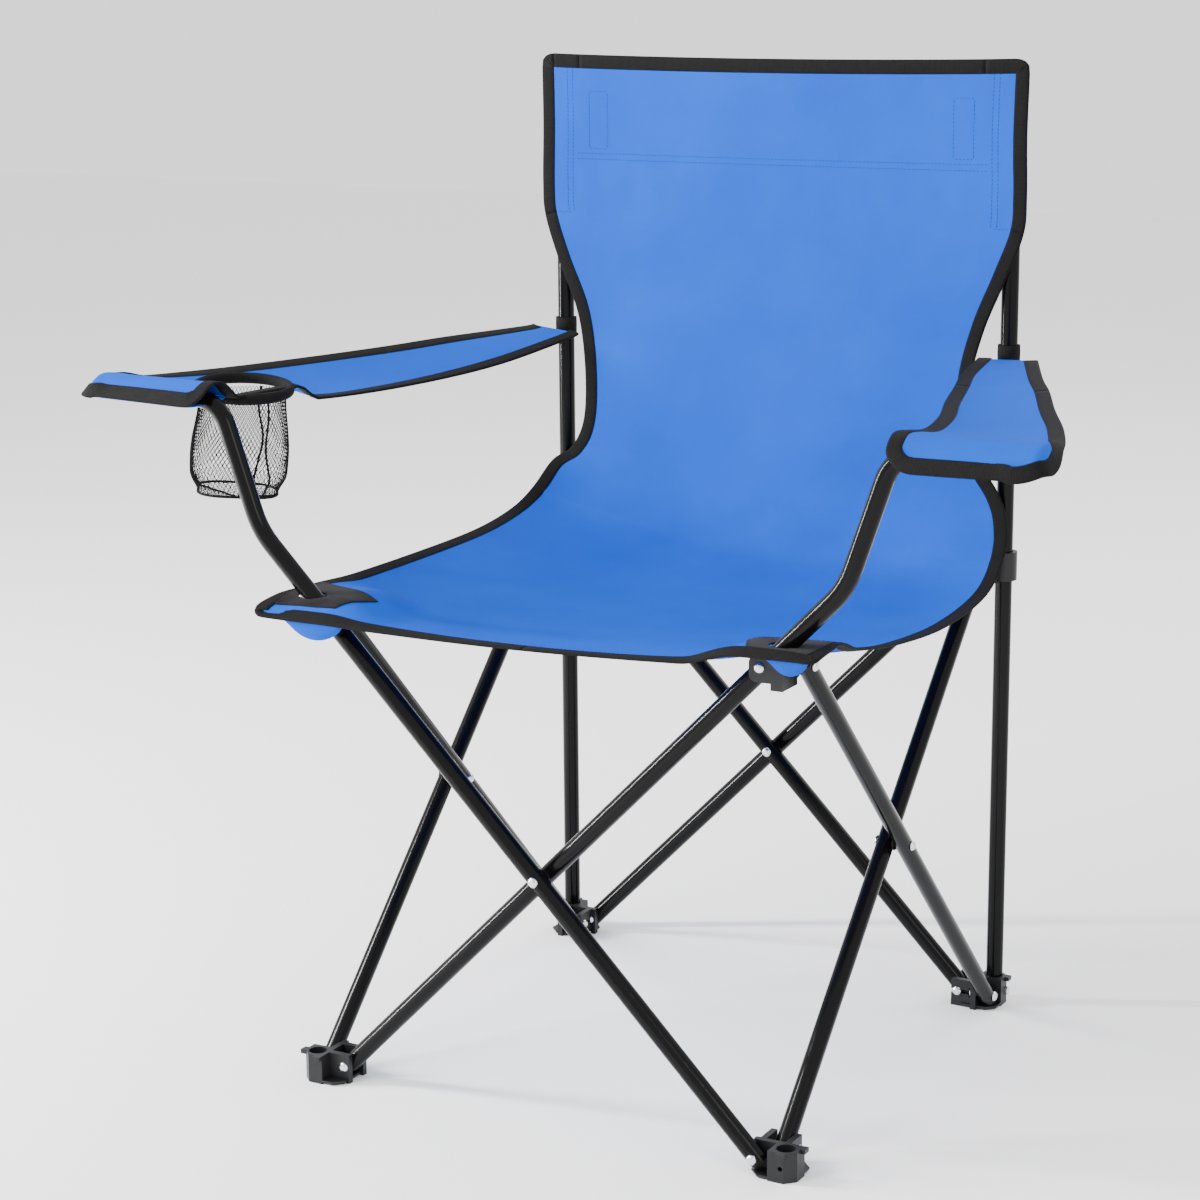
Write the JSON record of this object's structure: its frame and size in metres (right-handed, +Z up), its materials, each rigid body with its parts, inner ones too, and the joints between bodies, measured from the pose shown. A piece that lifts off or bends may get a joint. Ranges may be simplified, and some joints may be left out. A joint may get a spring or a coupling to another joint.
{
  "type": "folding camp chair",
  "caption": "Folding camp chair with crossed steel legs, sling fabric seat and back, padded-edge armrests and a net cup holder.",
  "frame": {"origin": "on the ground under the middle of the open chair", "axes": "+Z up, the sitter faces -Y, +X to the right for a viewer in front of the chair"},
  "size_m": [0.8014, 0.464, 0.8],
  "materials": {
    "blue_fabric": "plain-woven polyester, matt with a faint sheen",
    "black_binding": "ribbed black polyester tape, matt",
    "cup_net": "open black knitted net",
    "black_tube": "glossy black powder-coated steel",
    "black_plastic": "satin moulded black plastic",
    "bright_rivets": "bright nickel-plated steel"
  },
  "bodies": {
    "root": {"foot_rear_left": "black_plastic", "foot_rivets_rear_left": "bright_rivets", "upright_left": "black_tube", "upright_cap_left": "black_plastic", "upright_screw_left": "bright_rivets", "back_sleeve_left": "blue_fabric", "back_panel": "blue_fabric", "arm_loop_left": "black_binding"},
    "rear_outer": {"rear_tube_outer": "black_tube", "cross_rivet_rear": "bright_rivets", "cross_washer_rear": "black_plastic"},
    "rear_inner": {"rear_tube_inner": "black_tube"},
    "right_post": {"foot_rear_right": "black_plastic", "foot_rivets_rear_right": "bright_rivets", "upright_right": "black_tube", "upright_cap_right": "black_plastic", "upright_screw_right": "bright_rivets", "back_sleeve_right": "blue_fabric", "arm_loop_right": "black_binding"},
    "slider_right": {"slider_right": "black_plastic", "slider_rivets_right": "bright_rivets"},
    "slider_left": {"slider_left": "black_plastic", "slider_rivets_left": "bright_rivets"},
    "left_inner": {"side_tube_left_inner": "black_tube", "cross_rivet_left": "bright_rivets", "cross_washer_left": "black_plastic"},
    "left_outer": {"side_tube_left_outer": "black_tube"},
    "foot_front_left": {"foot_front_left": "black_plastic", "foot_rivets_front_left": "bright_rivets"},
    "hub_front_left": {"hub_front_left": "black_plastic", "hub_rivets_front_left": "bright_rivets"},
    "right_outer": {"side_tube_right_outer": "black_tube", "cross_rivet_right": "bright_rivets", "cross_washer_right": "black_plastic"},
    "right_inner": {"side_tube_right_inner": "black_tube"},
    "foot_front_right": {"foot_front_right": "black_plastic", "foot_rivets_front_right": "bright_rivets"},
    "hub_front_right": {"hub_front_right": "black_plastic", "hub_rivets_front_right": "bright_rivets"},
    "front_right_arm": {"front_tube_right_arm": "black_tube", "arm_tube_cap_right": "black_plastic", "arm_sleeve_right": "blue_fabric", "cross_rivet_front": "bright_rivets", "cross_washer_front": "black_plastic"},
    "front_left_arm": {"front_tube_left_arm": "black_tube", "arm_tube_cap_left": "black_plastic", "arm_sleeve_left": "blue_fabric"},
    "seat_left": {"seat_left": "blue_fabric", "seat_patch_left": "black_binding"},
    "seat_right": {"seat_right": "blue_fabric", "seat_patch_right": "black_binding"},
    "armrest_front_left": {"armrest_front_left": "blue_fabric", "cup_ring": "black_binding", "cup_net": "cup_net"},
    "armrest_rear_left": {"armrest_rear_left": "blue_fabric"},
    "armrest_front_right": {"armrest_front_right": "blue_fabric"},
    "armrest_rear_right": {"armrest_rear_right": "blue_fabric"}
  },
  "joints": [
    {"name": "fold", "type": "hinge", "parent": "root", "child": "rear_outer", "pos_m": [-0.186, 0.2202, 0.0135], "axis": [0, -1, 0], "range_deg": [0, 39.7], "deforming": ["back_panel", "seat_left", "seat_right", "seat_patch_left", "seat_patch_right", "armrest_front_left", "armrest_rear_left", "armrest_front_right", "armrest_rear_right"]},
    {"name": "rear_crossing", "type": "hinge", "parent": "rear_outer", "child": "rear_inner", "pos_m": [0, 0.2125, 0.20176], "axis": [0, 1, 0], "range_deg": [-0.5, 80]},
    {"name": "rear_right_foot_pivot", "type": "hinge", "parent": "rear_inner", "child": "right_post", "pos_m": [0.186, 0.2048, 0.0135], "axis": [0, -1, 0], "range_deg": [-0.5, 40.3]},
    {"name": "right_slider_pivot", "type": "hinge", "parent": "rear_outer", "child": "slider_right", "pos_m": [0.186, 0.2202, 0.39003], "axis": [0, 1, 0], "range_deg": [-0.5, 40.3]},
    {"name": "left_slider_pivot", "type": "hinge", "parent": "rear_inner", "child": "slider_left", "pos_m": [-0.186, 0.2048, 0.39003], "axis": [0, -1, 0], "range_deg": [-0.5, 40.3]},
    {"name": "left_inner_foot_pivot", "type": "hinge", "parent": "root", "child": "left_inner", "pos_m": [-0.1968, 0.194, 0.0135], "axis": [-1, 0, 0], "range_deg": [-0.5, 40.3]},
    {"name": "left_crossing", "type": "hinge", "parent": "left_inner", "child": "left_outer", "pos_m": [-0.2045, 0.008, 0.20176], "axis": [1, 0, 0], "range_deg": [-0.5, 80]},
    {"name": "front_left_foot_pivot", "type": "hinge", "parent": "left_outer", "child": "foot_front_left", "pos_m": [-0.2122, -0.178, 0.0135], "axis": [-1, 0, 0], "range_deg": [-0.5, 40.3]},
    {"name": "front_left_hub_pivot", "type": "hinge", "parent": "left_inner", "child": "hub_front_left", "pos_m": [-0.1968, -0.178, 0.39003], "axis": [1, 0, 0], "range_deg": [-0.5, 40.3]},
    {"name": "right_outer_foot_pivot", "type": "hinge", "parent": "right_post", "child": "right_outer", "pos_m": [0.2122, 0.194, 0.0135], "axis": [-1, 0, 0], "range_deg": [-0.5, 40.3]},
    {"name": "right_crossing", "type": "hinge", "parent": "right_outer", "child": "right_inner", "pos_m": [0.2045, 0.008, 0.20176], "axis": [1, 0, 0], "range_deg": [-0.5, 80]},
    {"name": "front_right_foot_pivot", "type": "hinge", "parent": "right_inner", "child": "foot_front_right", "pos_m": [0.1968, -0.178, 0.0135], "axis": [-1, 0, 0], "range_deg": [-0.5, 40.3]},
    {"name": "front_right_hub_pivot", "type": "hinge", "parent": "right_outer", "child": "hub_front_right", "pos_m": [0.2122, -0.178, 0.39003], "axis": [1, 0, 0], "range_deg": [-0.5, 40.3]},
    {"name": "front_inner_foot_pivot", "type": "hinge", "parent": "foot_front_left", "child": "front_right_arm", "pos_m": [-0.186, -0.1888, 0.0135], "axis": [0, -1, 0], "range_deg": [-0.5, 40.3]},
    {"name": "front_crossing", "type": "hinge", "parent": "front_right_arm", "child": "front_left_arm", "pos_m": [0, -0.1965, 0.20176], "axis": [0, 1, 0], "range_deg": [-0.5, 80]},
    {"name": "seat_left_fold", "type": "hinge", "parent": "slider_left", "child": "seat_left", "pos_m": [-0.2045, 0.203, 0.4035], "axis": [0, 1, 0], "range_deg": [-0.5, 78.93]},
    {"name": "seat_right_fold", "type": "hinge", "parent": "slider_right", "child": "seat_right", "pos_m": [0.2045, 0.203, 0.4035], "axis": [0, -1, 0], "range_deg": [-0.5, 78.93]},
    {"name": "armrest_left_droop", "type": "hinge", "parent": "front_left_arm", "child": "armrest_front_left", "pos_m": [-0.345, -0.2042, 0.55472], "axis": [-0.999, 0, 0.0438], "range_deg": [-0.5, 84.6]},
    {"name": "armrest_right_droop", "type": "hinge", "parent": "front_right_arm", "child": "armrest_front_right", "pos_m": [0.345, -0.1888, 0.55472], "axis": [-0.999, 0, -0.0438], "range_deg": [-0.5, 84.6]},
    {"name": "armrest_left_rear_droop", "type": "hinge", "parent": "root", "child": "armrest_rear_left", "pos_m": [-0.21, 0.21, 0.5625], "axis": [0.4287, -0.1453, -0.8917], "range_deg": [-0.5, 50.55]},
    {"name": "armrest_right_rear_droop", "type": "hinge", "parent": "right_post", "child": "armrest_rear_right", "pos_m": [0.21, 0.21, 0.5625], "axis": [0.3516, 0.1191, 0.9286], "range_deg": [-0.5, 53.96]}
  ],
  "couplings": [
    {"joint": "rear_crossing", "follows": "fold", "ratio": 2},
    {"joint": "rear_right_foot_pivot", "follows": "fold", "ratio": 1},
    {"joint": "right_slider_pivot", "follows": "fold", "ratio": 1},
    {"joint": "left_slider_pivot", "follows": "fold", "ratio": 1},
    {"joint": "left_inner_foot_pivot", "follows": "fold", "ratio": 1},
    {"joint": "left_crossing", "follows": "fold", "ratio": 2},
    {"joint": "front_left_foot_pivot", "follows": "fold", "ratio": 1},
    {"joint": "front_left_hub_pivot", "follows": "fold", "ratio": 1},
    {"joint": "right_outer_foot_pivot", "follows": "fold", "ratio": 1},
    {"joint": "right_crossing", "follows": "fold", "ratio": 2},
    {"joint": "front_right_foot_pivot", "follows": "fold", "ratio": 1},
    {"joint": "front_right_hub_pivot", "follows": "fold", "ratio": 1},
    {"joint": "front_inner_foot_pivot", "follows": "fold", "ratio": 1},
    {"joint": "front_crossing", "follows": "fold", "ratio": 2},
    {"joint": "seat_left_fold", "follows": "fold", "ratio": 1.9731},
    {"joint": "seat_right_fold", "follows": "fold", "ratio": 1.9731},
    {"joint": "armrest_left_droop", "follows": "fold", "ratio": 2.1159},
    {"joint": "armrest_right_droop", "follows": "fold", "ratio": 2.1159},
    {"joint": "armrest_left_rear_droop", "follows": "fold", "ratio": 1.2582},
    {"joint": "armrest_right_rear_droop", "follows": "fold", "ratio": 1.344}
  ]
}
